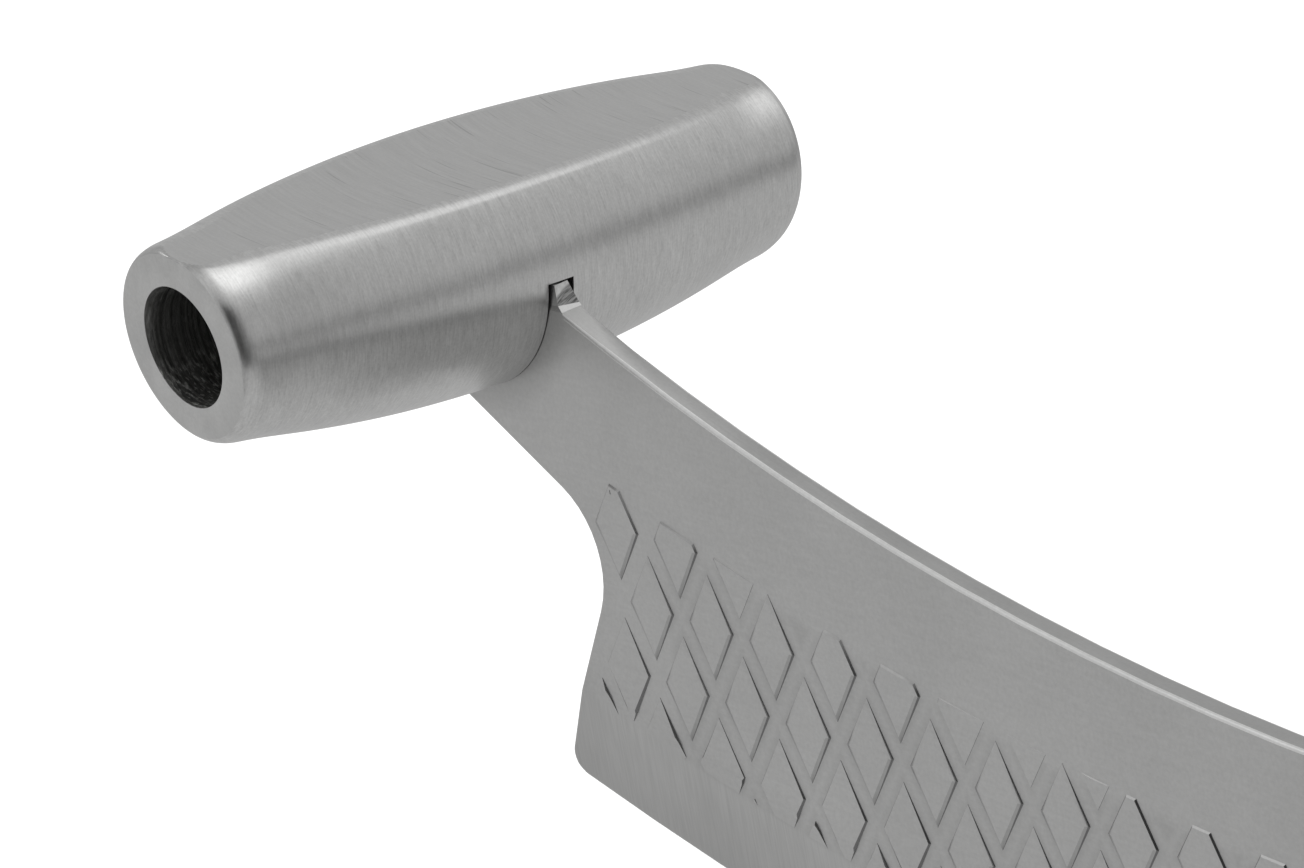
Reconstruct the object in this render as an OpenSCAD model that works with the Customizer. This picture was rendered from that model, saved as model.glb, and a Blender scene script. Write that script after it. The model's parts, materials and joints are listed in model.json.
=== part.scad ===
/* [Layout] */
// distance between the two handle axes
handle_span = 290.6; // [240:0.2:360]
// height of the handle axes above the lowest point of the cutting edge
handle_height = 77.94; // [60:0.02:100]

/* [Blade] */
// thickness of the blade sheet
blade_t = 3; // [2:0.1:5]
// height of the lowest point of the concave spine
spine_height = 49.05; // [35:0.05:60]
// radius of the spine
spine_radius = 342.9; // [250:0.1:600]
// radius of the convex cutting edge
edge_radius = 517; // [350:0.1:900]
// height above the edge at which the primary grind meets the sheet's face
grind_height = 11.5; // [6:0.1:20]
// height of the small final bevel
bevel_height = 0.7; // [0.3:0.05:2]
// thickness of the steel behind the final bevel
bevel_t = 0.5; // [0.3:0.05:1]
// thickness left at the very edge
edge_t = 0.08; // [0.04:0.01:0.2]

/* [Neck and heel] */
// slope of the neck's lower edge below the level
neck_slope = 27.9; // [10:0.5:45]
// depth of the neck's lower edge under the handle axis, straight below it
neck_drop = 17.25; // [12:0.02:24]
// lean of the heel from the vertical
heel_lean = 23.4; // [5:0.1:40]
// distance of the heel from the handle axis, at the level of the cutting edge
heel_reach = 2.14; // [0:0.02:20]
// radius between the neck and the heel
neck_radius = 10.8; // [4:0.1:20]
// radius of the heel's lower corner
heel_radius = 2.4; // [0.5:0.1:5]

/* [Diamond pads] */
// distance between pads along a row
pad_pitch = 9.765; // [6:0.005:14]
// slope of the pads' sides
pad_slope = 60; // [45:1:70]
// width of the plain band between pads
pad_land = 2.2; // [1:0.05:4]
// least height of a pad that the arc over the pattern cuts short
pad_least = 3.1; // [0.5:0.1:6]
// height of the pads above the sheet's face
pad_rise = 0.25; // [0.1:0.01:0.6]
// height of one row of pads, through their middles
pad_row_height = 41.78; // [30:0.01:50]
// lowest point of the arc that ends the pads at the top
pad_top_height = 35.95; // [25:0.05:48]
// radius of that arc
pad_top_radius = 398.7; // [250:0.1:700]

/* [Handle] */
// length of the handle
handle_length = 81.3; // [60:0.1:120]
// radius of the barrel at its middle
barrel_radius = 15.32; // [11:0.01:20]
// radius of the barrel's bulge along its length
crown_radius = 186.6; // [120:0.1:400]
// angle of the tapered ends of the barrel
taper_angle = 9.55; // [5:0.01:14]
// height of the top flat over the axis
flat_height = 11.75; // [8:0.01:14]
// lean of the flat towards the middle of the knife
flat_lean = 7.9; // [0:0.1:15]
// radius of the flat's slight crown along the handle
flat_crown = 844; // [400:1:3000]
// lean of the end faces
end_lean = 5.99; // [0:0.01:12]
// direction of that lean, from the top towards the middle of the knife
end_turn = 23.4; // [0:0.1:90]
// radius of the bore in each end
bore_radius = 7; // [4:0.05:10]
// depth of the bore from the middle of the end face
bore_depth = 24; // [10:0.5:32]

/* [Tang and pins] */
// width of the tang's slot
slot_width = 3.7; // [3.2:0.05:6]
// shift of the slot from the middle of the blade, away from the front
slot_shift = 0.25; // [0:0.05:0.5]
// clearance of the tang's edges in its slot
tang_edge_gap = 0.2; // [0.05:0.01:0.6]
// depth of the tang's top edge under the handle axis
tang_top_drop = 1.05; // [0:0.05:5]
// distance the tang reaches past the handle axis
tang_reach = 3.3; // [1:0.1:6]
// distance of the tang's top corner from the handle axis
corner_reach = 15.25; // [13:0.05:19]
// width of the steep rise from the spine to that corner
rise_width = 0.95; // [0.3:0.05:3]
// height of that rise
rise_height = 2; // [0.5:0.05:4]
// width of the gentler start of the rise
root_width = 0.6; // [0.3:0.05:3]
// height of the gentler start of the rise
root_height = 0.85; // [0.3:0.05:3]
// width of the cut at the tang's lower corner
toe_width = 1.8; // [0.5:0.1:3]
// height of that cut
toe_height = 2.6; // [0.5:0.1:4]
// radius of the dowel pins
pin_radius = 1.5; // [1:0.05:2]
// length of the dowel pins
pin_length = 32; // [12:0.5:60]
// clearance between a pin and its hole
pin_gap = 0.02; // [0.01:0.005:0.05]
// upper pin, towards the middle of the knife from the handle axis
pin_upper_reach = 3.9; // [2:0.1:6]
// upper pin, below the handle axis
pin_upper_drop = 3.6; // [2:0.1:6]
// lower pin, away from the middle of the knife
pin_lower_reach = 0.6; // [0:0.1:2]
// lower pin, below the handle axis
pin_lower_drop = 5.1; // [3:0.1:6]

/* [Hidden] */
// overrun of every cut past the solid it cuts
over = 2;
$fn = 96;
arc_fn = 720;
// columns from the middle to the last pad of each row, top row first
row_columns = [12.5, 12, 12.5, 13, 10.5, 5];
// rows of pads above the one that pad_row_height names
rows_above = 1;

handle_x = handle_span / 2;
half_length = handle_length / 2;
half_blade = blade_t / 2;
grind_slope = (half_blade - bevel_t / 2) / (grind_height - bevel_height);
disc_half = half_blade + pad_rise + over;
disc_height = grind_height + (pad_rise + over) / grind_slope;
tang_top = handle_height - tang_top_drop;

// neck, heel and their fillet, for the end at positive X
neck_tan = tan(neck_slope);
heel_tan = tan(heel_lean);
corner_u = (heel_reach + (handle_height - neck_drop) * heel_tan) / (1 + neck_tan * heel_tan);
neck_corner = [handle_x - corner_u, handle_height - neck_drop - corner_u * neck_tan];
neck_dir = [cos(neck_slope), sin(neck_slope)];
heel_dir = [sin(heel_lean), -cos(heel_lean)];
notch_half = (90 - heel_lean + neck_slope) / 2;
notch_mid = neck_slope - notch_half;
neck_centre = neck_corner + neck_radius / sin(notch_half) * [cos(notch_mid), sin(notch_mid)];
neck_tangent = neck_corner + neck_radius / tan(notch_half) * neck_dir;
heel_tangent = neck_corner + neck_radius / tan(notch_half) * heel_dir;
neck_inside = neck_corner - over * [cos(notch_mid), sin(notch_mid)];
neck_far = neck_corner + (corner_u + tang_reach + over) / cos(neck_slope) * neck_dir;

function heel_point(z) = [handle_x - heel_reach - z * heel_tan, z];
function neck_point(u) = [handle_x - u, handle_height - neck_drop - u * neck_tan];

// round lower corner of the heel, tangent to the heel and to the cutting edge
edge_centre = [0, edge_radius];
heel_in = [-cos(heel_lean), -sin(heel_lean)];
heel_start = heel_point(0) + heel_radius * heel_in;
heel_offset = heel_start - edge_centre;
heel_along = heel_offset * heel_dir;
heel_inner = edge_radius - heel_radius;
heel_run = sqrt(heel_along * heel_along - heel_offset * heel_offset + heel_inner * heel_inner) - heel_along;
heel_centre = heel_start + heel_run * heel_dir;
heel_side = heel_centre - heel_radius * heel_in;
heel_unit = (heel_centre - edge_centre) / heel_inner;
heel_bottom = edge_centre + edge_radius * heel_unit;
heel_tip = heel_centre + (heel_radius / (1 - heel_unit * heel_in) + over) * (heel_unit - heel_in);

// tang's end, with its lower corner cut off
tang_end = handle_x + tang_reach;
toe_x = tang_end - toe_width;
toe_z = neck_point(toe_width - tang_reach)[1];

// tang's top corner and the rise to it from the spine
corner_x = handle_x - corner_reach;
rise_x = corner_x - rise_width;
rise_z = tang_top - rise_height;
root_x = rise_x - root_width;
root_z = rise_z - root_height;
root_slope = root_width / root_height;
rise_slope = rise_width / rise_height;

// pads
row_step = pad_pitch / 2 * tan(pad_slope);
pad_share = 1 - pad_land / (pad_pitch * sin(pad_slope));
pad_half_w = pad_pitch / 2 * pad_share;
pad_half_h = row_step * pad_share;

function row_z(row) = pad_row_height + (rows_above - row) * row_step;
function top_arc(x) = pad_top_height + pad_top_radius - sqrt(pad_top_radius ^ 2 - x ^ 2);

// barrel
crown_x = barrel_radius - crown_radius;
taper_x = crown_x + crown_radius / cos(taper_angle);
end_x = taper_x - (half_length + barrel_radius) * tan(taper_angle);

module both_ends() {
    for (side = [0, 1])
        mirror([side, 0, 0])
            children();
}

module neck_notch() {
    difference() {
        polygon([neck_corner, neck_far, [neck_far[0], -over], heel_point(-over)]);
        difference() {
            polygon([neck_inside, neck_tangent, neck_centre, heel_tangent]);
            translate(neck_centre)
                circle(r = neck_radius);
        }
    }
}

module heel_corner() {
    difference() {
        polygon([heel_centre, heel_side, heel_tip, heel_bottom]);
        translate(heel_centre)
            circle(r = heel_radius);
    }
}

module tang_toe() {
    polygon([[toe_x - over * toe_width / toe_height, toe_z - over], [tang_end, toe_z + toe_height],
             [tang_end + over, toe_z + toe_height], [tang_end + over, toe_z - over]]);
}

// the spine's arc, held back from the tangs by the two rises
module spine_cut() {
    intersection() {
        translate([0, spine_height + spine_radius])
            circle(r = spine_radius, $fn = arc_fn);
        polygon([[0, root_z - spine_height], [root_x - spine_height * root_slope, root_z - spine_height],
                 [root_x, root_z], [rise_x, rise_z],
                 [rise_x + (rise_height + spine_height) * rise_slope, tang_top + spine_height],
                 [0, tang_top + spine_height]]);
    }
}

module blade_outline() {
    difference() {
        intersection() {
            translate([-handle_x - tang_reach, -over])
                square([handle_span + 2 * tang_reach, tang_top + over]);
            translate(edge_centre)
                circle(r = edge_radius, $fn = arc_fn);
        }
        both_ends()
            spine_cut();
        both_ends()
            neck_notch();
        both_ends()
            heel_corner();
        both_ends()
            tang_toe();
    }
}

// a disc round the edge's centre that carries the grind and the final bevel
module grind_disc() {
    translate([0, 0, edge_radius])
        rotate([90, 0, 0])
            rotate_extrude($fn = arc_fn)
                polygon([[0, -disc_half], [edge_radius - disc_height, -disc_half],
                         [edge_radius - bevel_height, -bevel_t / 2], [edge_radius, -edge_t / 2],
                         [edge_radius, edge_t / 2], [edge_radius - bevel_height, bevel_t / 2],
                         [edge_radius - disc_height, disc_half], [0, disc_half]]);
}

module pad() {
    polygon([[-pad_half_w, 0], [0, -pad_half_h], [pad_half_w, 0], [0, pad_half_h]]);
}

module pad_field() {
    difference() {
        for (row = [0 : len(row_columns) - 1])
            for (column = [-row_columns[row] : row_columns[row]])
                if (top_arc(column * pad_pitch) - row_z(row) + pad_half_h > pad_least)
                    translate([column * pad_pitch, row_z(row)])
                        pad();
        translate([0, pad_top_height + pad_top_radius])
            circle(r = pad_top_radius, $fn = arc_fn);
    }
}

module blade() {
    color([0.58, 0.58, 0.58])
        difference() {
            intersection() {
                rotate([90, 0, 0])
                    union() {
                        linear_extrude(blade_t, center = true)
                            blade_outline();
                        linear_extrude(blade_t + 2 * pad_rise, center = true)
                            intersection() {
                                pad_field();
                                blade_outline();
                            }
                    }
                grind_disc();
            }
            for (side = [-1, 1])
                translate([side * handle_x, 0, handle_height])
                    pin_holes(side);
        }
}

// Y runs along the handle, positive X towards the middle of the knife
module pin_holes(side) {
    for (place = [[pin_upper_reach, -pin_upper_drop], [-pin_lower_reach, -pin_lower_drop]])
        translate([-side * place[0], 0, place[1]])
            rotate([90, 0, 0])
                cylinder(h = handle_length, r = pin_radius + pin_gap, center = true);
}

module barrel() {
    rotate([90, 0, 0])
        rotate_extrude()
            intersection() {
                translate([crown_x, 0])
                    circle(r = crown_radius, $fn = arc_fn);
                polygon([[0, -half_length - barrel_radius], [end_x, -half_length - barrel_radius],
                         [taper_x, 0], [end_x, half_length + barrel_radius], [0, half_length + barrel_radius]]);
            }
}

module end_cut() {
    translate([0, -half_length, 0])
        rotate([0, end_turn, 0])
            rotate([end_lean, 0, 0])
                translate([-barrel_radius - over, -2 * barrel_radius, -barrel_radius - over])
                    cube([2 * (barrel_radius + over), 2 * barrel_radius, 2 * (barrel_radius + over)]);
}

module flat_cut() {
    rotate([0, flat_lean, 0])
        rotate([90, 0, 90])
            linear_extrude(2 * (barrel_radius + over), center = true)
                difference() {
                    translate([-half_length - barrel_radius, flat_height - over])
                        square([handle_length + 2 * barrel_radius, barrel_radius]);
                    translate([0, flat_height - flat_crown])
                        circle(r = flat_crown, $fn = arc_fn);
                }
}

module bore() {
    translate([0, bore_depth - half_length, 0])
        rotate([90, 0, 0])
            cylinder(h = bore_depth + barrel_radius, r = bore_radius);
}

module slot() {
    translate([-tang_reach - tang_edge_gap, slot_shift - slot_width / 2, -barrel_radius - over])
        cube([barrel_radius + tang_reach + over, slot_width,
              barrel_radius + over - tang_top_drop + tang_edge_gap]);
}

module handle() {
    difference() {
        barrel();
        end_cut();
        mirror([0, 1, 0])
            end_cut();
        flat_cut();
        bore();
        mirror([0, 1, 0])
            bore();
        slot();
        pin_holes(-1);
    }
}

module left_handle() {
    color([0.62, 0.62, 0.61])
        translate([-handle_x, 0, handle_height])
            handle();
}

module right_handle() {
    color([0.62, 0.62, 0.61])
        mirror([1, 0, 0])
            translate([-handle_x, 0, handle_height])
                handle();
}

module pin(side, reach, drop) {
    color([0.7, 0.7, 0.72])
        translate([side * (handle_x - reach), 0, handle_height - drop])
            rotate([90, 0, 0])
                cylinder(h = pin_length, r = pin_radius, center = true);
}

module left_pin_upper() {
    pin(-1, pin_upper_reach, pin_upper_drop);
}

module left_pin_lower() {
    pin(-1, -pin_lower_reach, pin_lower_drop);
}

module right_pin_upper() {
    pin(1, pin_upper_reach, pin_upper_drop);
}

module right_pin_lower() {
    pin(1, -pin_lower_reach, pin_lower_drop);
}

blade();
left_handle();
right_handle();
left_pin_upper();
left_pin_lower();
right_pin_upper();
right_pin_lower();
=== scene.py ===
import json
import math
import bpy
import bmesh
from mathutils import Matrix, Vector


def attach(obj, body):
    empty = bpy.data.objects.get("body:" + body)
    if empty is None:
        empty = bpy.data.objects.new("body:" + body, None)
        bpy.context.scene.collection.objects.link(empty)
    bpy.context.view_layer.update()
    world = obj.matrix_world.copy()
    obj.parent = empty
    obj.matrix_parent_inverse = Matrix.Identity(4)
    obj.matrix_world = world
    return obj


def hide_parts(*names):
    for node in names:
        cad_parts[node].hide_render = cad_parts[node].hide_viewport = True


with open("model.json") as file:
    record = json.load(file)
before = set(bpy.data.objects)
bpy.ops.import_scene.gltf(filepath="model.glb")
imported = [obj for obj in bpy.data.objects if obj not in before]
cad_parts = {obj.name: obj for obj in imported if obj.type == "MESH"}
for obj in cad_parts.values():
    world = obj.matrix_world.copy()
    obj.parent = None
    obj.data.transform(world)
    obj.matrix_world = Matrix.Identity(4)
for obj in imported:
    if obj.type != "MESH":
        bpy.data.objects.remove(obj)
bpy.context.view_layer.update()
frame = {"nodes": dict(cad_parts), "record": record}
mm = 0.001

# all four bores are alike, so one mount of the record places the handles' axes
boreMount = next(mount for mount in frame["record"]["mounts"] if mount["name"] == "left_front_bore")
knife = {
    "halfSpan": -boreMount["pos_m"][0],     # middle of the knife to each handle's axis
    "axisHeight": boreMount["pos_m"][2],    # cutting edge to the handles' axes
}


# helpers for meshes

def objectFromBmesh(name, bm):
    mesh = bpy.data.meshes.new(name)
    bm.to_mesh(mesh)
    bm.free()
    obj = bpy.data.objects.new(name, mesh)
    bpy.context.scene.collection.objects.link(obj)
    return obj


def evenly(first, last, count):
    return [first + (last - first) * step / count for step in range(count + 1)]


def withEdges(faces):
    # faces with their edges and corners, as the operators take them
    return faces + list({e for f in faces for e in f.edges}) + list({v for f in faces for v in f.verts})


def openEdges(bm):
    return sum(1 for e in bm.edges if len(e.link_faces) != 2)


# handles

handle = {    # the left handle, in millimetres and degrees from its middle
    "halfLength": 40.65, "middleRadius": 15.32, "crownRadius": 186.6, "taperAngle": 9.55,
    "flareStart": 33.5, "flare": 0.3,                           # barrel opens a little at its mouths
    "flatHeight": 11.75, "flatLean": 7.9, "flatCrown": 844.0, "flatFacing": 0.3,
    "flatSoftness": 0.9, "softEnd": 42.0, "softFade": 6.0, "softLeast": 0.25,
    "endSlopeX": 0.0416, "endSlopeZ": 0.0963, "endSlopeStart": 16.0,
    "bulgeStart": 36.0, "bulge": 0.28, "bulgeAngle": 172.0, "bulgeWidth": 48.0,    # rim is fuller outside
    "boreRadius": boreMount["dims"]["r_mm"], "boreDepth": boreMount["dims"]["length_mm"], "floorRound": 0.4,
    "mouthRound": 0.06, "mouthShare": 0.3, "rimRound": 0.95, "rimReach": 2.3,
    "slotFront": -1.6, "slotBack": 2.1, "slotTop": -0.85, "slotInner": -3.5, "slotRings": (-0.4, 0.8),
    "slotRadius": 11.0, "slotRoof": 3.0, "slotFar": -6.0,       # keeps the slot's cuts near its own corner
    "endBand": 2.5, "endFacing": 0.9, "flatMatch": 0.996, "sharpAngle": 28.0,
    "boreRings": 14, "faceRings": 6, "rimRings": 12, "barrelRings": 30, "segments": 480,
    "weld": 0.00001, "hair": 0.0001, "gap": 0.01,
}
handleParts = ("barrel", "end", "bore", "flat")


def barrelRadius(y):
    h = handle
    y = abs(y)
    angle = math.radians(h["taperAngle"])
    turn = h["crownRadius"] * math.sin(angle)
    if y < turn:
        return h["middleRadius"] - h["crownRadius"] + math.sqrt(h["crownRadius"] ** 2 - y * y)
    edge = h["middleRadius"] - h["crownRadius"] * (1 - math.cos(angle))
    flare = h["flare"] * (max(y - h["flareStart"], 0) / (h["halfLength"] - h["flareStart"])) ** 2
    return edge - (y - turn) * math.tan(angle) + flare


def flatDistance(y):
    h = handle
    return h["flatHeight"] - h["flatCrown"] + math.sqrt(h["flatCrown"] ** 2 - y * y)


def flattened(radius, theta, y):
    # radius once the top flat is cut, with a small round between flat and barrel
    h = handle
    facing = math.cos(theta - math.radians(90 - h["flatLean"]))
    if facing < h["flatFacing"]:
        return radius
    flat = flatDistance(y) / facing
    soft = h["flatSoftness"] * min(1, max(h["softLeast"], (h["softEnd"] - abs(y)) / h["softFade"]))
    share = max(soft - abs(radius - flat), 0) / soft
    return min(radius, flat) - share * share * soft / 4


def halfProfile():
    # (radius, distance from the middle) along the bore's floor and wall, the end face, the rim and the barrel
    h = handle
    bore, end, turn = h["boreRadius"], h["halfLength"], h["floorRound"]
    floor = end - h["boreDepth"]
    points = [(0, floor), (bore / 2, floor), (bore - 2 * turn, floor), (bore - turn / 2, floor + turn / 4)]
    points += [(bore, y) for y in evenly(floor + turn, end - h["mouthRound"], h["boreRings"])]
    mouth = h["mouthRound"] * h["mouthShare"]
    points.append((bore + mouth, end - mouth))
    face = evenly(bore + h["mouthRound"], barrelRadius(end) - h["rimRound"], h["faceRings"])
    points += [(radius, end) for radius in face]
    for angle in evenly(math.radians(90), 0, h["rimRings"])[1:]:
        y = end - h["rimReach"] + h["rimReach"] * math.sin(angle)
        points.append((barrelRadius(y) - h["rimRound"] + h["rimRound"] * math.cos(angle), y))
    rings = evenly(points[-1][1], h["slotBack"], h["barrelRings"])[1:-1]
    return points + [(barrelRadius(y), y) for y in rings]


def spunHandle():
    h = handle
    half = halfProfile()
    middle = (-h["slotBack"], h["slotFront"], *h["slotRings"], h["slotBack"])
    chain = [(r, -y) for r, y in half] + [(barrelRadius(y), y) for y in middle] + half[::-1]
    bm = bmesh.new()
    verts = [bm.verts.new((r, y, 0)) for r, y in chain]
    edges = [bm.edges.new(pair) for pair in zip(verts, verts[1:])]
    bmesh.ops.spin(bm, geom=verts + edges, cent=(0, 0, 0), axis=(0, 1, 0), dvec=(0, 0, 0), angle=math.tau,
                   steps=h["segments"], use_merge=True, use_duplicate=False)
    bmesh.ops.remove_doubles(bm, verts=bm.verts, dist=h["weld"])
    bmesh.ops.dissolve_degenerate(bm, edges=bm.edges, dist=h["weld"])
    return bm


def rimBulge(radius, angle, y):
    h = handle
    near = max(abs(y) - h["bulgeStart"], 0) / (h["halfLength"] - h["bulgeStart"])
    turn = (math.degrees(angle) - h["bulgeAngle"] + 180) % 360 - 180
    share = (radius - h["boreRadius"]) / (barrelRadius(y) - h["boreRadius"])
    return h["bulge"] * share * near ** 2 * math.exp(-(turn / h["bulgeWidth"]) ** 2)


def leanEndsAndCutFlat(bm):
    # moves the spun corners: the end faces lean, and the flat is pressed into the barrel's top
    h = handle
    for vert in bm.verts:
        x, y, z = vert.co
        radius = math.hypot(x, z)
        side = math.copysign(1, y)
        reach = min(max((abs(y) - h["endSlopeStart"]) / (h["halfLength"] - h["endSlopeStart"]), 0), 1)
        newY = y + side * reach * (h["endSlopeX"] * x + h["endSlopeZ"] * z)
        if radius > h["boreRadius"] + h["hair"]:
            angle = math.atan2(z, x)
            newRadius = flattened(radius + rimBulge(radius, angle, y), angle, newY)
            x, z = x * newRadius / radius, z * newRadius / radius
            newY = y + side * reach * (h["endSlopeX"] * x + h["endSlopeZ"] * z)
        vert.co = (x, newY, z)


def slotBand(bm):
    # the barrel's faces between the slot's two rings
    h = handle
    low, high = h["slotFront"] - h["gap"], h["slotBack"] + h["gap"]
    verts = {v for v in bm.verts if low < v.co.y < high and math.hypot(v.co.x, v.co.z) > h["slotRadius"]}
    return [f for f in bm.faces if all(v in verts for v in f.verts)]


def openSlot(bm):
    h = handle
    for point, normal in (((0, 0, h["slotTop"]), (0, 0, 1)), ((h["slotInner"], 0, 0), (1, 0, 0))):
        centres = [(f, f.calc_center_median()) for f in slotBand(bm)]
        near = [f for f, centre in centres if centre.z < h["slotRoof"] and centre.x > h["slotFar"]]
        bmesh.ops.bisect_plane(bm, geom=withEdges(near), plane_co=point, plane_no=normal, dist=h["weld"])
    centres = [(f, f.calc_center_median()) for f in slotBand(bm)]
    gone = [f for f, centre in centres if centre.z < h["slotTop"] and centre.x > h["slotInner"]]
    bmesh.ops.delete(bm, geom=gone, context="FACES")


def wallSlot(bm):
    # front and back wall from their arcs, then the roof and the inner wall
    h = handle
    rim = [e for e in bm.edges if len(e.link_faces) == 1]
    corners, tops, lows = [], [], []
    for y in (h["slotFront"], h["slotBack"]):
        ring = {v for e in rim for v in e.verts if abs(v.co.y - y) < h["hair"]}
        corner = bm.verts.new((h["slotInner"], y, h["slotTop"]))
        top, low = max(ring, key=lambda v: v.co.z), min(ring, key=lambda v: v.co.x)
        arc = [e for e in rim if all(v in ring for v in e.verts)]
        sides = [bm.edges.new((top, corner)), bm.edges.new((corner, low))]
        bmesh.ops.contextual_create(bm, geom=arc + sides)
        corners.append(corner)
        tops.append(top)
        lows.append(low)
    back = bm.edges.new(corners)
    for ends, axis, level in ((tops, 2, h["slotTop"]), (lows, 0, h["slotInner"])):
        lip = [e for e in rim if all(abs(v.co[axis] - level) < h["hair"] for v in e.verts)]
        sides = [bm.edges.get((end, corner)) for end, corner in zip(ends, corners)]
        bmesh.ops.contextual_create(bm, geom=lip + sides + [back])


def handlePart(face, flatNormal):
    h = handle
    centre = face.calc_center_median()
    if math.hypot(centre.x, centre.z) < h["boreRadius"] + h["gap"]:
        return "bore"
    if abs(centre.y) > h["halfLength"] - h["endBand"] and abs(face.normal.y) > h["endFacing"]:
        return "end"
    return "flat" if face.normal.dot(flatNormal) > h["flatMatch"] else "barrel"


def buildHandles():
    h = handle
    bm = spunHandle()
    leanEndsAndCutFlat(bm)
    openSlot(bm)
    wallSlot(bm)
    bmesh.ops.recalc_face_normals(bm, faces=bm.faces)
    lean = math.radians(h["flatLean"])
    flatNormal = Vector((math.sin(lean), 0, math.cos(lean)))
    for face in bm.faces:
        face.smooth = True
        face.material_index = handleParts.index(handlePart(face, flatNormal))
    for edge in bm.edges:
        edge.smooth = edge.calc_face_angle(0) < math.radians(h["sharpAngle"])
    print("handle faces", len(bm.faces), "open edges", openEdges(bm))
    pair = []
    for name, side in (("leftHandleBody", -1), ("rightHandleBody", 1)):
        copy = bm.copy()
        bmesh.ops.scale(copy, vec=(-side * mm, mm, mm), verts=copy.verts)
        if side > 0:
            bmesh.ops.reverse_faces(copy, faces=copy.faces)
        bmesh.ops.translate(copy, vec=(side * knife["halfSpan"], 0, knife["axisHeight"]), verts=copy.verts)
        pair.append(objectFromBmesh(name, copy))
    bm.free()
    return pair


leftHandle, rightHandle = buildHandles()
print("handles built")


# blade

blade = {    # in millimetres and degrees
    "halfThickness": 1.5, "padRise": 0.25, "wallSlope": 0.95,
    "tipRise": 0.03, "tipAngle": 75.0,                          # pads sink towards their sharp tips
    "smallPad": 30.0, "smallRise": 0.16,                        # pads cut short, by area, lie lower
    "shoulderDrop": 0.05, "shoulderWidth": 0.36, "levelWidth": 0.4,
    "straightAngle": 178.0, "leastSine": 0.3, "mostTipMove": 0.5, "mostEdgeMove": 0.6,
    "edgeRound": 0.42, "edgeSegments": 4, "roundStart": 26.0,
    "filedReach": 17.25, "filedDepth": 5.4, "facetReach": 16.9, "facetDepth": 3.45,
    # corners of the filed rise, out from the handle's axis and up from it, each with its places
    # (out, up, across) on the near and the far face, since a hand filed them
    "filedCorners": (((15.25, -1.05), (15.83, -0.95, -1.2), (15.02, -1.13, 1.36)),
                     ((16.2, -3.05), (16.3, -3.2, -1.32), (16.6, -3.42, 1.5)),
                     ((16.8, -3.9), (17.02, -3.82, -1.45), (16.95, -3.7, 1.5))),
    "sharpAngle": 36.0, "creaseAngle": 1.0, "mergeAngle": 1.2,
    "weld": 0.002, "sliver": 0.001, "level": 0.003, "fit": 0.004, "hair": 0.00001, "play": 0.02, "gap": 0.06,
    "tangMargin": 0.3,
}
bladeParts = ("face", "padWall", "spine", "facet", "roundedEdge", "shoulder", "lowWall")
facing = {    # limits for a part of a face's normal, across the blade or up: 1 is square on and 0 edge on
    "level": 0.99999, "flat": 0.999, "side": 0.99, "padSlope": 0.97, "steep": 0.6, "half": 0.5, "wall": 0.3,
    "rising": 0.3, "outline": 0.2, "upright": 0.05,
}


def besideWall(edge, face):
    return all(abs(f.normal.y) < facing["wall"] for f in edge.link_faces if f is not face)


def mergedBlade():
    # merged copy of the CAD blade, in millimetres
    bm = bmesh.new()
    source = frame["nodes"]["blade"]
    bm.from_mesh(source.data)
    bm.transform(Matrix.Scale(1 / mm, 4) @ source.matrix_world)
    bmesh.ops.remove_doubles(bm, verts=bm.verts, dist=blade["weld"])
    bmesh.ops.dissolve_degenerate(bm, edges=bm.edges, dist=blade["sliver"])
    return bm


def levelFaces(bm):
    level = blade["halfThickness"] + blade["padRise"]
    return [f for f in bm.faces if all(abs(abs(v.co.y) - level) < blade["fit"] for v in f.verts)]


def padTops(bm):
    # each pad's level top as one face, and its walls without spare corners
    low = blade["halfThickness"] - blade["fit"]
    high = blade["halfThickness"] + blade["padRise"] + blade["fit"]
    tops = levelFaces(bm)
    walls = [f for f in bm.faces if abs(f.normal.y) < facing["upright"]
             and all(low < abs(v.co.y) < high for v in f.verts)]
    ours = set(tops) | set(walls)
    edges = [e for e in bm.edges if len(e.link_faces) == 2 and all(f in ours for f in e.link_faces)
             and (e.link_faces[0] in walls) == (e.link_faces[1] in walls)]
    verts = list({v for f in tops for v in f.verts})
    bmesh.ops.dissolve_limit(bm, angle_limit=math.radians(blade["mergeAngle"]), use_dissolve_boundaries=False,
                             verts=verts, edges=edges)
    return levelFaces(bm)


def slopeWalls(face):
    # moves the top's corners inward, less at its sharp tips, which lie lower;
    # an edge on the grind stays in line
    half = blade["halfThickness"]
    rise = blade["padRise"] if face.calc_area() > blade["smallPad"] else blade["smallRise"]
    side = math.copysign(1, face.calc_center_median().y)
    moves = []
    for loop in face.loops:
        here = loop.vert.co
        ahead = (loop.link_loop_next.vert.co - here).normalized()
        behind = (loop.link_loop_prev.vert.co - here).normalized()
        wallAhead = besideWall(loop.edge, face)
        wallBehind = besideWall(loop.link_loop_prev.edge, face)
        angle = ahead.angle(behind)
        whole = wallAhead and wallBehind
        height = rise - blade["shoulderDrop"] * whole
        if whole and angle < math.radians(blade["tipAngle"]):
            height = blade["tipRise"]
        width = height * blade["wallSlope"]
        if whole and angle < math.radians(blade["straightAngle"]):
            move = (ahead + behind).normalized() * min(width / math.sin(angle / 2), blade["mostTipMove"])
        elif whole:
            inward = face.calc_center_median() - here
            inward -= ahead * inward.dot(ahead)
            move = inward.normalized() * width
        elif wallAhead or wallBehind:
            line = behind if wallAhead else ahead
            move = line * min(width / max(math.sin(angle), blade["leastSine"]), blade["mostEdgeMove"])
        else:
            move = Vector((0, 0, 0))
        moves.append((loop.vert, move, side * (half + height) if whole else here.y))
    for vert, move, y in moves:
        vert.co = Vector((vert.co.x + move.x, y, vert.co.z + move.z))


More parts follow.
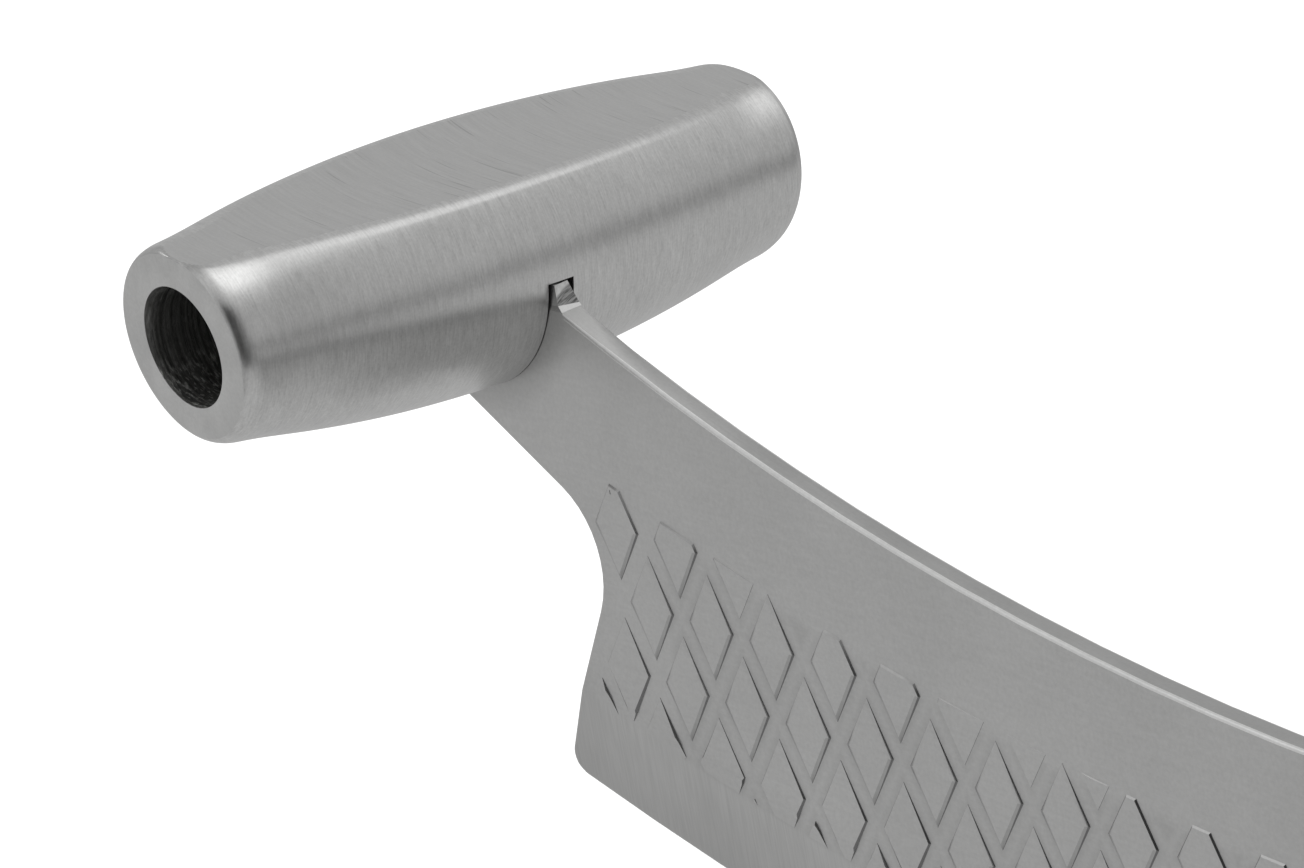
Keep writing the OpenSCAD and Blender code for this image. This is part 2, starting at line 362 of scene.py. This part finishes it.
def softenPads(bm):
    # slopes every pad's walls and gives the larger pads a shoulder round a level top
    level = blade["halfThickness"] + blade["padRise"]
    tops = padTops(bm)
    whole = []
    for face in tops:
        if face.calc_area() > blade["smallPad"] and all(besideWall(e, face) for e in face.edges):
            whole.append(face)
        slopeWalls(face)
    bm.normal_update()
    shoulders = None
    for width in (blade["shoulderWidth"], blade["levelWidth"]):
        made = bmesh.ops.inset_individual(bm, faces=whole, thickness=width, depth=0.0, use_even_offset=True)
        shoulders = shoulders or set(made["faces"])
        for vert in {v for f in whole for v in f.verts}:
            vert.co.y = math.copysign(level, vert.co.y)
    print("pads", len(tops), "with shoulders", len(whole))
    return shoulders


def fileTang(bm):
    # cuts the tang's sides beside the rise, then moves the rise's corners to where the file left them
    span, height = knife["halfSpan"] / mm, knife["axisHeight"] / mm
    inner, low = span - blade["filedReach"], height - blade["filedDepth"]
    for side in (-1, 1):
        for point, normal in (((side * inner, 0, 0), (1, 0, 0)), ((0, 0, low), (0, 0, 1))):
            faces = [f for f in bm.faces if abs(f.normal.y) > facing["side"]
                     and any(v.co.x * side > inner + blade["gap"] and v.co.z > low for v in f.verts)]
            bmesh.ops.bisect_plane(bm, geom=withEdges(faces), plane_co=point, plane_no=normal,
                                   dist=blade["hair"])
    moved = set()
    for (out, up), nearPlace, farPlace in blade["filedCorners"]:
        for vert in bm.verts:
            offset = (span - abs(vert.co.x) - out, vert.co.z - height - up)
            if max(abs(offset[0]), abs(offset[1])) < blade["gap"]:
                newOut, newUp, newY = farPlace if vert.co.y > 0 else nearPlace
                vert.co = (math.copysign(span - newOut, vert.co.x), newY, height + newUp)
                moved.add(vert)
    sides = {f for v in moved for f in v.link_faces if abs(f.normal.y) > facing["half"]}
    bmesh.ops.triangulate(bm, faces=list(sides))
    print("filed corners", len(moved))


def roundOutline(bm):
    # rounds the spine's two edges between the handles
    reach = knife["halfSpan"] / mm - blade["filedReach"] + blade["play"]
    chosen = []
    for edge in bm.edges:
        if len(edge.link_faces) != 2 or not edge.is_convex:
            continue
        if any(abs(abs(v.co.y) - blade["halfThickness"]) > blade["weld"] or abs(v.co.x) > reach
               for v in edge.verts):
            continue
        slopes = sorted(abs(face.normal.y) for face in edge.link_faces)
        upward = max(face.normal.z for face in edge.link_faces) > facing["half"]
        if slopes[0] < facing["outline"] and slopes[1] > facing["flat"] and upward:
            chosen.append(edge)
    made = bmesh.ops.bevel(bm, geom=chosen, offset=blade["edgeRound"], offset_type="OFFSET",
                           segments=blade["edgeSegments"], profile=0.5, affect="EDGES", clamp_overlap=False,
                           material=-1, loop_slide=True)
    print("rounded edges", len(chosen))
    return set(made["faces"])


def bladePart(face, rounds, shoulders):
    half = blade["halfThickness"]
    reach = [abs(v.co.y) for v in face.verts]
    normal, centre = face.normal, face.calc_center_median()
    out, up = knife["halfSpan"] / mm - abs(centre.x), centre.z - knife["axisHeight"] / mm
    if out < blade["facetReach"] and up > -blade["facetDepth"] and abs(normal.x) > facing["steep"]:
        return "facet"
    if face in rounds:
        return "roundedEdge"
    onPad = min(reach) < half + blade["level"] and max(reach) > half + blade["play"]
    if onPad and abs(normal.y) < facing["padSlope"]:
        if normal.z > facing["steep"] or abs(normal.y) < facing["outline"]:
            return "face"
        return "lowWall" if normal.z < 0 else "padWall"
    if face in shoulders:
        return "shoulder" if normal.z < 0 else "face"
    return "spine" if abs(normal.y) < facing["half"] and normal.z > facing["rising"] else "face"


def dressBlade(bm, rounds, shoulders):
    # steel of each face, and which edges stay sharp
    span = knife["halfSpan"] / mm
    besideRound = {bladeParts.index("spine"), bladeParts.index("roundedEdge")}
    for face in bm.faces:
        face.smooth = True
        face.material_index = bladeParts.index(bladePart(face, rounds, shoulders))
    for edge in bm.edges:
        faces = edge.link_faces
        turn = math.degrees(edge.calc_face_angle(0))
        soft = any(f in rounds or f in shoulders for f in faces)
        level = any(abs(f.normal.y) > facing["level"] for f in faces)
        gentle = turn < blade["sharpAngle"] and (soft or not level)
        farthest = span - min(abs(v.co.x) for v in edge.verts)
        atTang = farthest < blade["filedReach"] + blade["tangMargin"]
        atRound = farthest < blade["roundStart"] and {f.material_index for f in faces} == besideRound
        edge.smooth = turn < blade["creaseAngle"] or (gentle and not atTang and not atRound)


def buildBlade():
    bm = mergedBlade()
    shoulders = softenPads(bm)
    fileTang(bm)
    bm.normal_update()
    rounds = roundOutline(bm)
    bm.normal_update()
    dressBlade(bm, rounds, shoulders)
    print("blade faces", len(bm.faces), "open edges", openEdges(bm))
    bmesh.ops.scale(bm, vec=(mm, mm, mm), verts=bm.verts)
    return objectFromBmesh("bladeSheet", bm)


bladeSheet = buildBlade()
print("blade built")


# helpers for materials

toneBand = (0.3, 0.7)       # middle of a noise, spread over the swing of a tone
polishBand = (0.25, 0.75)   # the same for its polish


def setSocket(tree, socket, value):
    if isinstance(value, (int, float)):
        socket.default_value = value
    else:
        tree.links.new(value, socket)


def mathNode(tree, operation, first, second=0.0):
    node = tree.nodes.new("ShaderNodeMath")
    node.operation = operation
    setSocket(tree, node.inputs[0], first)
    setSocket(tree, node.inputs[1], second)
    return node.outputs[0]


def plus(tree, first, second):
    return mathNode(tree, "ADD", first, second)


def minus(tree, first, second):
    return mathNode(tree, "SUBTRACT", first, second)


def times(tree, first, *others):
    for other in others:
        first = mathNode(tree, "MULTIPLY", first, other)
    return first


def distance(tree, across, up):
    return mathNode(tree, "SQRT", plus(tree, times(tree, across, across), times(tree, up, up)))


def blend(tree, first, share, second):
    return plus(tree, times(tree, first, share), times(tree, second, 1 - share))


def combine(tree, *parts):
    node = tree.nodes.new("ShaderNodeCombineXYZ")
    for socket, value in zip(node.inputs, parts):
        setSocket(tree, socket, value)
    return node.outputs[0]


def noiseNode(tree, vector, scale, detail=2.0, roughness=0.6):
    node = tree.nodes.new("ShaderNodeTexNoise")
    node.inputs["Scale"].default_value = scale
    node.inputs["Detail"].default_value = detail
    node.inputs["Roughness"].default_value = roughness
    tree.links.new(vector, node.inputs["Vector"])
    return node.outputs["Fac"]


def strokes(tree, axes, scales, detail=2.0, roughness=0.6):
    # noise per metre along three axes, drawn out where its scale is low
    vector = combine(tree, *[times(tree, axis, scale) for axis, scale in zip(axes, scales)])
    return noiseNode(tree, vector, 1.0, detail=detail, roughness=roughness)


def ramp(tree, value, start, end, low=0.0, high=1.0, smooth=True):
    node = tree.nodes.new("ShaderNodeMapRange")
    node.interpolation_type = "SMOOTHSTEP" if smooth else "LINEAR"
    tree.links.new(value, node.inputs["Value"])
    for name, number in (("From Min", start), ("From Max", end), ("To Min", low), ("To Max", high)):
        node.inputs[name].default_value = number
    return node.outputs["Result"]


def swing(tree, pattern, spread):
    # tone that swings about 1 with a noise
    return ramp(tree, pattern, *toneBand, 1 - spread, 1 + spread, smooth=False)


def mixed(tree, share, first, second):
    node = tree.nodes.new("ShaderNodeMix")
    for name, value in (("Factor", share), ("A", first), ("B", second)):
        tree.links.new(value, node.inputs[name])
    return node.outputs["Result"]


def objectCoords(tree):
    coords = tree.nodes.new("ShaderNodeTexCoord")
    separate = tree.nodes.new("ShaderNodeSeparateXYZ")
    tree.links.new(coords.outputs["Object"], separate.inputs[0])
    return coords.outputs["Object"], *separate.outputs


def handleCoords(tree):
    # towards the knife's middle, along the handle and up, from the handle's axis, alike for both handles
    vector, x, y, z = objectCoords(tree)
    across = minus(tree, knife["halfSpan"], mathNode(tree, "ABSOLUTE", x))
    return vector, across, y, minus(tree, z, knife["axisHeight"])


def startMaterial(name):
    material = bpy.data.materials.new(name)
    material.use_nodes = True
    return material, material.node_tree, material.node_tree.nodes["Principled BSDF"]


def finishSteel(tree, shader, finish, tone, pattern, relief=None):
    # colour times tone, polish from the pattern, and a fine relief
    tint = tree.nodes.new("ShaderNodeVectorMath")
    tint.operation = "SCALE"
    tint.inputs[0].default_value = finish["colour"]
    tree.links.new(tone, tint.inputs["Scale"])
    tree.links.new(tint.outputs[0], shader.inputs["Base Color"])
    shader.inputs["Metallic"].default_value = 1.0
    polish = ramp(tree, pattern, *polishBand, *finish["roughness"], smooth=False)
    tree.links.new(polish, shader.inputs["Roughness"])
    if "anisotropy" in finish:
        shader.inputs["Anisotropic"].default_value = finish["anisotropy"]
        tree.links.new(combine(tree, 0.0, 1.0, 0.0), shader.inputs["Tangent"])
    if "bumpDepth" in finish:
        bump = tree.nodes.new("ShaderNodeBump")
        bump.inputs["Strength"].default_value = finish["bumpStrength"]
        bump.inputs["Distance"].default_value = finish["bumpDepth"]
        tree.links.new(relief or pattern, bump.inputs["Height"])
        tree.links.new(bump.outputs["Normal"], shader.inputs["Normal"])


# handle steels: noise scales are per metre, and arcs are measured at the radius given

barrelSteel = {
    "colour": (0.6, 0.6, 0.594), "roughness": (0.28, 0.38), "anisotropy": 0.55,
    "bumpStrength": 0.3, "bumpDepth": 0.03 * mm, "arcRadius": 14.5 * mm,
    "ticks": (5200.0, 480.0, 1.0), "scores": (1500.0, 170.0, 1.0), "scoreLayer": 3.0, "tickShare": 0.62,
    "grain": 3200.0, "brushShare": 0.75, "brushSwing": 0.2, "cloud": 70.0, "cloudSwing": 0.04,
    # painted highlight: the barrel is coloured lighter above its mouths, on the side towards the blade
    "highlightAlong": (32.5 * mm, 38 * mm), "highlightGain": 0.42, "highlightUp": (5.5 * mm, 8.5 * mm),
    "highlightTop": (9.1 * mm, 10.2 * mm), "highlightAcross": (2 * mm, 5 * mm),
    # painted shade: the barrel's colour darkens over its last rounding at each rim, damping the highlight
    # there
    "rimShadeAlong": (40.2 * mm, 40.9 * mm), "rimShadeTone": 0.8,
}
flatSteel = {
    "colour": (0.575, 0.575, 0.57), "roughness": (0.32, 0.4), "anisotropy": 0.4,
    "bumpStrength": 0.25, "bumpDepth": 0.03 * mm, "discOffset": 2 * mm, "discWidth": 66 * mm,
    "fine": (5200.0, 150.0, 1.0), "marks": (2100.0, 90.0, 1.0), "markLayer": 5.0, "fineShare": 0.5,
    "grain": 3000.0, "brushShare": 0.75, "brushSwing": 0.1,
    "scratches": (2600.0, 75.0, 1.0), "scratchLayer": 9.0, "scratchBand": (0.66, 0.74), "scratchTone": 0.78,
}
endSteel = {
    "colour": (0.57, 0.57, 0.564), "roughness": (0.28, 0.36), "bumpStrength": 0.15, "bumpDepth": 0.02 * mm,
    "fine": 2600.0, "fineSwing": 0.05, "cloud": 260.0, "cloudSwing": 0.06,
}
boreSteel = {
    "colour": (0.33, 0.33, 0.322), "roughness": (0.32, 0.57), "bumpStrength": 0.6, "bumpDepth": 0.2 * mm,
    "rings": (2600.0, 60.0, 60.0), "ringSwing": 0.45, "ringShare": 0.5, "arcRadius": 7 * mm,
    "tears": (2300.0, 900.0, 1.0), "tearLayer": 2.0, "tearBand": (0.5, 0.68), "tearTone": 2.2,
    "tornUp": (-6 * mm, -2 * mm),
}


def barrelMaterial():
    # brushed round the barrel
    finish = barrelSteel
    material, tree, shader = startMaterial("brushedBarrelSteel")
    vector, across, along, up = handleCoords(tree)
    arc = times(tree, mathNode(tree, "ARCTAN2", up, across), finish["arcRadius"])
    ticks = strokes(tree, (along, arc, 0.0), finish["ticks"])
    scores = strokes(tree, (along, arc, finish["scoreLayer"]), finish["scores"], detail=3.0)
    grain = noiseNode(tree, vector, finish["grain"], detail=1.0, roughness=0.5)
    cloud = noiseNode(tree, vector, finish["cloud"], detail=3.0, roughness=0.5)
    brush = blend(tree, blend(tree, ticks, finish["tickShare"], scores), finish["brushShare"], grain)
    fromMiddle = mathNode(tree, "ABSOLUTE", along)
    # painted highlight: lighter colour above the mouths, on the side towards the blade
    paintedHighlight = times(tree, ramp(tree, fromMiddle, *finish["highlightAlong"], 0.0, finish["highlightGain"]),
                   ramp(tree, up, *finish["highlightUp"]), ramp(tree, up, *finish["highlightTop"], 1.0, 0.0),
                   ramp(tree, across, *finish["highlightAcross"]))
    # painted shade over the rim's last rounding
    rimShade = ramp(tree, fromMiddle, *finish["rimShadeAlong"], 1.0, finish["rimShadeTone"])
    tone = times(tree, swing(tree, brush, finish["brushSwing"]), swing(tree, cloud, finish["cloudSwing"]),
                 plus(tree, 1.0, paintedHighlight), rimShade)
    finishSteel(tree, shader, finish, tone, brush)
    return material


def flatMaterial():
    # arced marks of a disc across the flat, and a few scratches
    finish = flatSteel
    material, tree, shader = startMaterial("discGroundFlatSteel")
    vector, across, along, up = handleCoords(tree)
    off = minus(tree, across, finish["discOffset"])
    path = minus(tree, along, times(tree, off, off, 1 / finish["discWidth"]))
    fine = strokes(tree, (path, across, 0.0), finish["fine"])
    marks = strokes(tree, (path, across, finish["markLayer"]), finish["marks"], roughness=0.5)
    lines = strokes(tree, (path, across, finish["scratchLayer"]), finish["scratches"],
                    detail=1.0, roughness=0.5)
    scratch = ramp(tree, lines, *finish["scratchBand"], 1.0, finish["scratchTone"])
    grain = noiseNode(tree, vector, finish["grain"], detail=1.0, roughness=0.5)
    brush = blend(tree, blend(tree, fine, finish["fineShare"], marks), finish["brushShare"], grain)
    finishSteel(tree, shader, finish, times(tree, swing(tree, brush, finish["brushSwing"]), scratch), brush)
    return material


def endMaterial():
    # satin end faces
    finish = endSteel
    material, tree, shader = startMaterial("satinEndSteel")
    vector = objectCoords(tree)[0]
    fine = noiseNode(tree, vector, finish["fine"])
    cloud = noiseNode(tree, vector, finish["cloud"], detail=3.0, roughness=0.55)
    tone = times(tree, swing(tree, fine, finish["fineSwing"]), swing(tree, cloud, finish["cloudSwing"]))
    finishSteel(tree, shader, finish, tone, fine)
    return material


def boreMaterial():
    # tool rings down the bore's wall, and torn steel at its lower side
    finish = boreSteel
    material, tree, shader = startMaterial("turnedBoreSteel")
    vector, across, along, up = handleCoords(tree)
    rings = strokes(tree, (along, across, up), finish["rings"])
    arc = times(tree, mathNode(tree, "ARCTAN2", up, across), finish["arcRadius"])
    torn = strokes(tree, (along, arc, finish["tearLayer"]), finish["tears"], detail=3.0)
    low = ramp(tree, up, *finish["tornUp"], 1.0, 0.0)
    tear = times(tree, ramp(tree, torn, *finish["tearBand"], 0.0, finish["tearTone"], smooth=False), low)
    tone = plus(tree, swing(tree, rings, finish["ringSwing"]), tear)
    finishSteel(tree, shader, finish, tone, torn, blend(tree, rings, finish["ringShare"], torn))
    return material


# blade steels

sheet = {    # arc of the cutting edge, height of its grind, and the lattice of the pads
    "edgeRadius": 517 * mm, "grindHeight": 11.5 * mm, "grindFade": (-0.6 * mm, 1.2 * mm),
    "padPitch": 9.765 * mm, "padRowHeight": 41.78 * mm, "padSlope": 60.0, "padHalf": 3.13 * mm,
    "padTopHeight": 35.95 * mm, "padTopRadius": 398.7 * mm, "padTopFade": (0.4 * mm, 1.8 * mm),
    # padShadeWidth and padShadeTones set the painted shade beside the pads
    "padReach": 114.5 * mm, "fade": 0.5 * mm, "padShadeWidth": 1.1 * mm, "padShadeTones": (0.9, 0.975),
    "faceLevel": (1.51 * mm, 1.53 * mm),
}
sheetSteel = {
    "roughness": (0.32, 0.4), "bumpStrength": 0.12, "bumpDepth": 0.02 * mm,
    "grindLines": (3600.0, 170.0, 200.0), "levelLines": (260.0, 2600.0, 200.0), "levelShare": 0.35,
    "grain": 2200.0, "cloud": 60.0, "lineSwing": 0.07, "cloudSwing": 0.035,
    # handleShadeFade and paintedNeckTone: painted shade on the sheet next to the handles
    "edgeFade": (1 * mm, 16 * mm), "handleShadeFade": (15 * mm, 19.5 * mm), "paintedNeckTone": 0.76,
}
bladeColours = {    # part of the blade: colour, and tone at the cutting edge
    "face": ("satinBladeSteel", (0.548, 0.548, 0.543), 0.84),
    # painted shade: the pads' walls are coloured darker than the face
    "padWall": ("padWallPaintedShadeSteel", (0.33, 0.33, 0.328), 1.0),
    # painted highlight: the rounded spine edges are coloured far lighter than the face
    "roundedEdge": ("roundedEdgePaintedHighlightSteel", (0.82, 0.82, 0.812), 1.0),
    # painted shade: the pads' lower shoulders are coloured darker than the face
    "shoulder": ("padShoulderPaintedShadeSteel", (0.44, 0.44, 0.436), 1.0),
    # painted shade: the pads' downward walls are coloured darkest
    "lowWall": ("lowerPadWallPaintedShadeSteel", (0.2, 0.2, 0.2), 1.0),
}
spineSteel = {
    "colour": (0.47, 0.47, 0.465), "roughness": (0.32, 0.4), "bumpStrength": 0.12, "bumpDepth": 0.02 * mm,
    "lines": (160.0, 5000.0, 160.0), "lineShare": 0.5, "lineSwing": 0.07, "grain": 2400.0,
    "cloud": 90.0, "cloudSwing": 0.05, "neckHighlightOut": (100 * mm, 126 * mm), "paintedNeckTone": 1.22,
}
facetSteel = {
    "colour": (0.6, 0.6, 0.592), "roughness": (0.3, 0.45), "bumpStrength": 0.4, "bumpDepth": 0.05 * mm,
    "slant": 0.3, "filedDrop": (1.7 * mm, 2.1 * mm), "fileMarks": (1.0, 500.0, 5200.0),
    "markBand": (0.35, 0.65), "markAndShadeTones": (0.2, 0.75), "grain": 1500.0, "grainTones": (0.9, 1.25),
}
pinSteel = {
    "colour": (0.6, 0.6, 0.605), "roughness": (0.2, 0.3), "lines": (200.0, 3000.0, 200.0), "lineSwing": 0.07,
}


def paintedPadShade(tree, x, y, z, height):
    # painted shade: the lands are coloured darker beside the pads, inside the field of pads
    lean = math.radians(90 - sheet["padSlope"])
    stripe = sheet["padPitch"] * math.cos(lean)
    fromRow = minus(tree, z, sheet["padRowHeight"])
    bands = []
    for sign in (1, -1):
        across = plus(tree, times(tree, x, math.cos(lean)), times(tree, fromRow, sign * math.sin(lean)))
        bands.append(mathNode(tree, "PINGPONG", across, stripe / 2))
    far = mathNode(tree, "MAXIMUM", *bands)
    besidePadShade = ramp(tree, far, sheet["padHalf"], sheet["padHalf"] + sheet["padShadeWidth"], *sheet["padShadeTones"])
    onLand = ramp(tree, mathNode(tree, "ABSOLUTE", y), *sheet["faceLevel"], 1.0, 0.0)
    top, reach, grind, fade = (sheet[name] for name in ("padTopRadius", "padReach", "grindHeight", "fade"))
    fromTopCentre = distance(tree, x, minus(tree, z, sheet["padTopHeight"] + top))
    below = ramp(tree, fromTopCentre, top + sheet["padTopFade"][0], top + sheet["padTopFade"][1])
    field = ramp(tree, mathNode(tree, "ABSOLUTE", x), reach - fade, reach + fade, 1.0, 0.0)
    above = ramp(tree, height, grind - fade, grind + fade)
    share = times(tree, below, field, above, onLand)
    return plus(tree, 1.0, times(tree, minus(tree, besidePadShade, 1.0), share))


def sheetMaterial(name, colour, edgeTone):
    # satin sheet, with grinding lines square to the edge in the ground zone
    finish = dict(sheetSteel, colour=colour)
    material, tree, shader = startMaterial(name)
    vector, x, y, z = objectCoords(tree)
    height = minus(tree, sheet["edgeRadius"], distance(tree, x, minus(tree, z, sheet["edgeRadius"])))
    start, end = (sheet["grindHeight"] + fade for fade in sheet["grindFade"])
    grindLines = strokes(tree, (x, z, y), finish["grindLines"])
    levelLines = strokes(tree, (x, z, y), finish["levelLines"])
    grain = noiseNode(tree, vector, finish["grain"])
    cloud = noiseNode(tree, vector, finish["cloud"], detail=4.0, roughness=0.55)
    satin = blend(tree, levelLines, finish["levelShare"], grain)
    texture = mixed(tree, ramp(tree, height, start, end, 1.0, 0.0), satin, grindLines)
    nearEdge = ramp(tree, height, *finish["edgeFade"], edgeTone, 1.0, smooth=False)
    # painted shade: the sheet is coloured darker close to the handles' axes
    across, along, up = handleCoords(tree)[1:]
    fromAxis = distance(tree, across, up)
    handleShade = ramp(tree, fromAxis, *finish["handleShadeFade"], finish["paintedNeckTone"], 1.0, smooth=False)
    tone = times(tree, swing(tree, texture, finish["lineSwing"]), swing(tree, cloud, finish["cloudSwing"]),
                 nearEdge, handleShade, paintedPadShade(tree, x, y, z, height))
    finishSteel(tree, shader, finish, tone, texture)
    return material


def spineMaterial():
    # ground along the spine, and painted a little lighter towards the handles as a highlight
    finish = spineSteel
    material, tree, shader = startMaterial("groundSpineSteel")
    vector, x, y, z = objectCoords(tree)
    lines = strokes(tree, (x, y, z), finish["lines"])
    grain = noiseNode(tree, vector, finish["grain"])
    cloud = noiseNode(tree, vector, finish["cloud"], detail=3.0, roughness=0.5)
    texture = blend(tree, lines, finish["lineShare"], grain)
    # painted highlight: lighter colour on the spine near each handle
    neckHighlight = ramp(tree, mathNode(tree, "ABSOLUTE", x), *finish["neckHighlightOut"], 1.0, finish["paintedNeckTone"],
                  smooth=False)
    tone = times(tree, swing(tree, texture, finish["lineSwing"]), swing(tree, cloud, finish["cloudSwing"]),
                 neckHighlight)
    finishSteel(tree, shader, finish, tone, texture)
    return material


def facetMaterial():
    # rise at the tang, with file marks on its lower half, which is also painted darker as shade
    finish = facetSteel
    material, tree, shader = startMaterial("filedFacetSteel")
    vector, x, y, z = objectCoords(tree)
    drop = plus(tree, minus(tree, knife["axisHeight"], z), times(tree, y, finish["slant"]))
    marks = strokes(tree, (0.0, y, drop), finish["fileMarks"])
    grain = noiseNode(tree, vector, finish["grain"], detail=3.0)
    light = ramp(tree, grain, *toneBand, *finish["grainTones"], smooth=False)
    # file marks and painted shade on the lower half
    marksAndShade = ramp(tree, marks, *finish["markBand"], *finish["markAndShadeTones"], smooth=False)
    finishSteel(tree, shader, finish, mixed(tree, ramp(tree, drop, *finish["filedDrop"]), light, marksAndShade), marks)
    return material


def pinMaterial():
    # ground dowel pins
    finish = pinSteel
    material, tree, shader = startMaterial("groundPinSteel")
    lines = strokes(tree, objectCoords(tree)[1:], finish["lines"], roughness=0.5)
    finishSteel(tree, shader, finish, swing(tree, lines, finish["lineSwing"]), lines)
    return material


def bladeMaterials():
    made = {"spine": spineMaterial(), "facet": facetMaterial()}
    for part, (name, colour, edgeTone) in bladeColours.items():
        made[part] = sheetMaterial(name, colour, edgeTone)
    return [made[part] for part in bladeParts]


def dressPiece(piece, node, materials):
    for material in materials:
        piece.data.materials.append(material)
    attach(piece, "root")
    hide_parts(node)


handleMaker = {"barrel": barrelMaterial, "end": endMaterial, "bore": boreMaterial, "flat": flatMaterial}
handleMaterials = [handleMaker[part]() for part in handleParts]
dressPiece(leftHandle, "left_handle", handleMaterials)
dressPiece(rightHandle, "right_handle", handleMaterials)
dressPiece(bladeSheet, "blade", bladeMaterials())
groundPins = pinMaterial()
for side in ("left", "right"):
    for place in ("upper", "lower"):
        for materialSlot in frame["nodes"][f"{side}_pin_{place}"].material_slots:
            materialSlot.material = groundPins
print("materials done")


# studio: the cards, the tent and their greys are seen only in the steel

studio = {
    "floorSize": 20.0, "floorColour": (0.7, 0.7, 0.7), "floorGlow": 0.45, "floorRoughness": 0.9,
    "worldColour": (1.0, 1.0, 1.0), "worldStrength": 1.0,
    "tentRadius": 3.0, "tentFloor": 0.0002, "tentGrey": 0.57, "tentSteps": (32, 16),
    "topLamp": {"at": (0.08, 0.6, 1.62), "size": 1.4, "power": 2.75},
    "backLamp": {"at": (0.3, 1.35, 1.0), "size": 1.0, "power": 0.25},
    "frontLamp": {"at": (-1.23, -0.5, 0.99), "size": 0.5, "power": 1.2},
    "horizonCard": {"centre": (0.22, 0.35, 0.052), "width": 0.85, "height": 0.104, "grey": 0.31},
    "cameraCard": {"centre": (0.02, -0.11, 0.125), "width": 0.2, "height": 0.25, "grey": 0.04},
    "cameraAt": (0.35928, -0.39951, 0.28092), "cameraTurn": (70.5203394, 4.68300876, 48.32160717),
    "lens": 165.98, "sensor": 36.0, "clip": (0.01, 100.0),
}
white = (1.0, 1.0, 1.0)


def paint(obj, name, colour, glow):
    # matt surface with no shine that also glows
    material, tree, shader = startMaterial(name)
    shader.inputs["Base Color"].default_value = (*colour, 1.0)
    shader.inputs["Specular IOR Level"].default_value = 0.0
    shader.inputs["Emission Color"].default_value = (*white, 1.0)
    shader.inputs["Emission Strength"].default_value = glow
    obj.data.materials.append(material)
    return shader


def buildFloor():
    bm = bmesh.new()
    bmesh.ops.create_grid(bm, x_segments=2, y_segments=2, size=studio["floorSize"])
    floor = objectFromBmesh("studioFloor", bm)
    shader = paint(floor, "whiteFloor", studio["floorColour"], studio["floorGlow"])
    shader.inputs["Roughness"].default_value = studio["floorRoughness"]


def buildWorld():
    world = bpy.data.worlds.new("paleStudio")
    bpy.context.scene.world = world
    world.use_nodes = True
    background = world.node_tree.nodes["Background"]
    background.inputs["Color"].default_value = (*studio["worldColour"], 1.0)
    background.inputs["Strength"].default_value = studio["worldStrength"]


def addLamp(name):
    setting = studio[name]
    lamp = bpy.data.lights.new(name, "AREA")
    lamp.shape = "DISK"
    lamp.size = setting["size"]
    lamp.energy = setting["power"]
    obj = bpy.data.objects.new(name, lamp)
    bpy.context.scene.collection.objects.link(obj)
    obj.location = setting["at"]
    aim = Vector((-knife["halfSpan"], 0, knife["axisHeight"])) - obj.location
    obj.rotation_euler = aim.to_track_quat("-Z", "Y").to_euler()
    obj.visible_camera = False


def stageCard(name, bm, grey):
    card = objectFromBmesh(name, bm)
    paint(card, name + "Grey", (0.0, 0.0, 0.0), grey)
    card.visible_camera = False
    card.visible_diffuse = False
    card.visible_shadow = False


def addCard(name):
    setting = studio[name]
    bm = bmesh.new()
    bmesh.ops.create_grid(bm, x_segments=2, y_segments=2, size=0.5)
    centre = Vector(setting["centre"])
    aim = Vector((-knife["halfSpan"], 0, centre.z)) - centre
    turn = aim.to_track_quat("Z", "Y").to_matrix().to_4x4()
    size = Matrix.Diagonal((setting["width"], setting["height"], 1, 1))
    bmesh.ops.transform(bm, matrix=Matrix.Translation(centre) @ turn @ size, verts=bm.verts)
    stageCard(name, bm, setting["grey"])


def buildTent():
    # grey dome over the set, with the lamps inside it
    bm = bmesh.new()
    around, up = studio["tentSteps"]
    bmesh.ops.create_uvsphere(bm, u_segments=around, v_segments=up, radius=studio["tentRadius"])
    cut = bmesh.ops.bisect_plane(bm, geom=withEdges(list(bm.faces)), plane_co=(0, 0, studio["tentFloor"]),
                                 plane_no=(0, 0, 1), clear_inner=True)
    rim = [e for e in cut["geom_cut"] if isinstance(e, bmesh.types.BMEdge)]
    bmesh.ops.holes_fill(bm, edges=rim, sides=0)
    bmesh.ops.recalc_face_normals(bm, faces=bm.faces)
    stageCard("reflectionTent", bm, studio["tentGrey"])


def buildCamera():
    camera = bpy.data.cameras.new("productCamera")
    camera.lens = studio["lens"]
    camera.sensor_width = studio["sensor"]
    camera.clip_start, camera.clip_end = studio["clip"]
    obj = bpy.data.objects.new("productCamera", camera)
    bpy.context.scene.collection.objects.link(obj)
    obj.location = studio["cameraAt"]
    obj.rotation_euler = [math.radians(angle) for angle in studio["cameraTurn"]]
    bpy.context.scene.camera = obj


buildFloor()
buildWorld()
for lampName in ("topLamp", "backLamp", "frontLamp"):
    addLamp(lampName)
buildTent()
for cardName in ("horizonCard", "cameraCard"):
    addCard(cardName)
buildCamera()
bpy.context.scene.view_settings.view_transform = "Standard"
print("studio done")
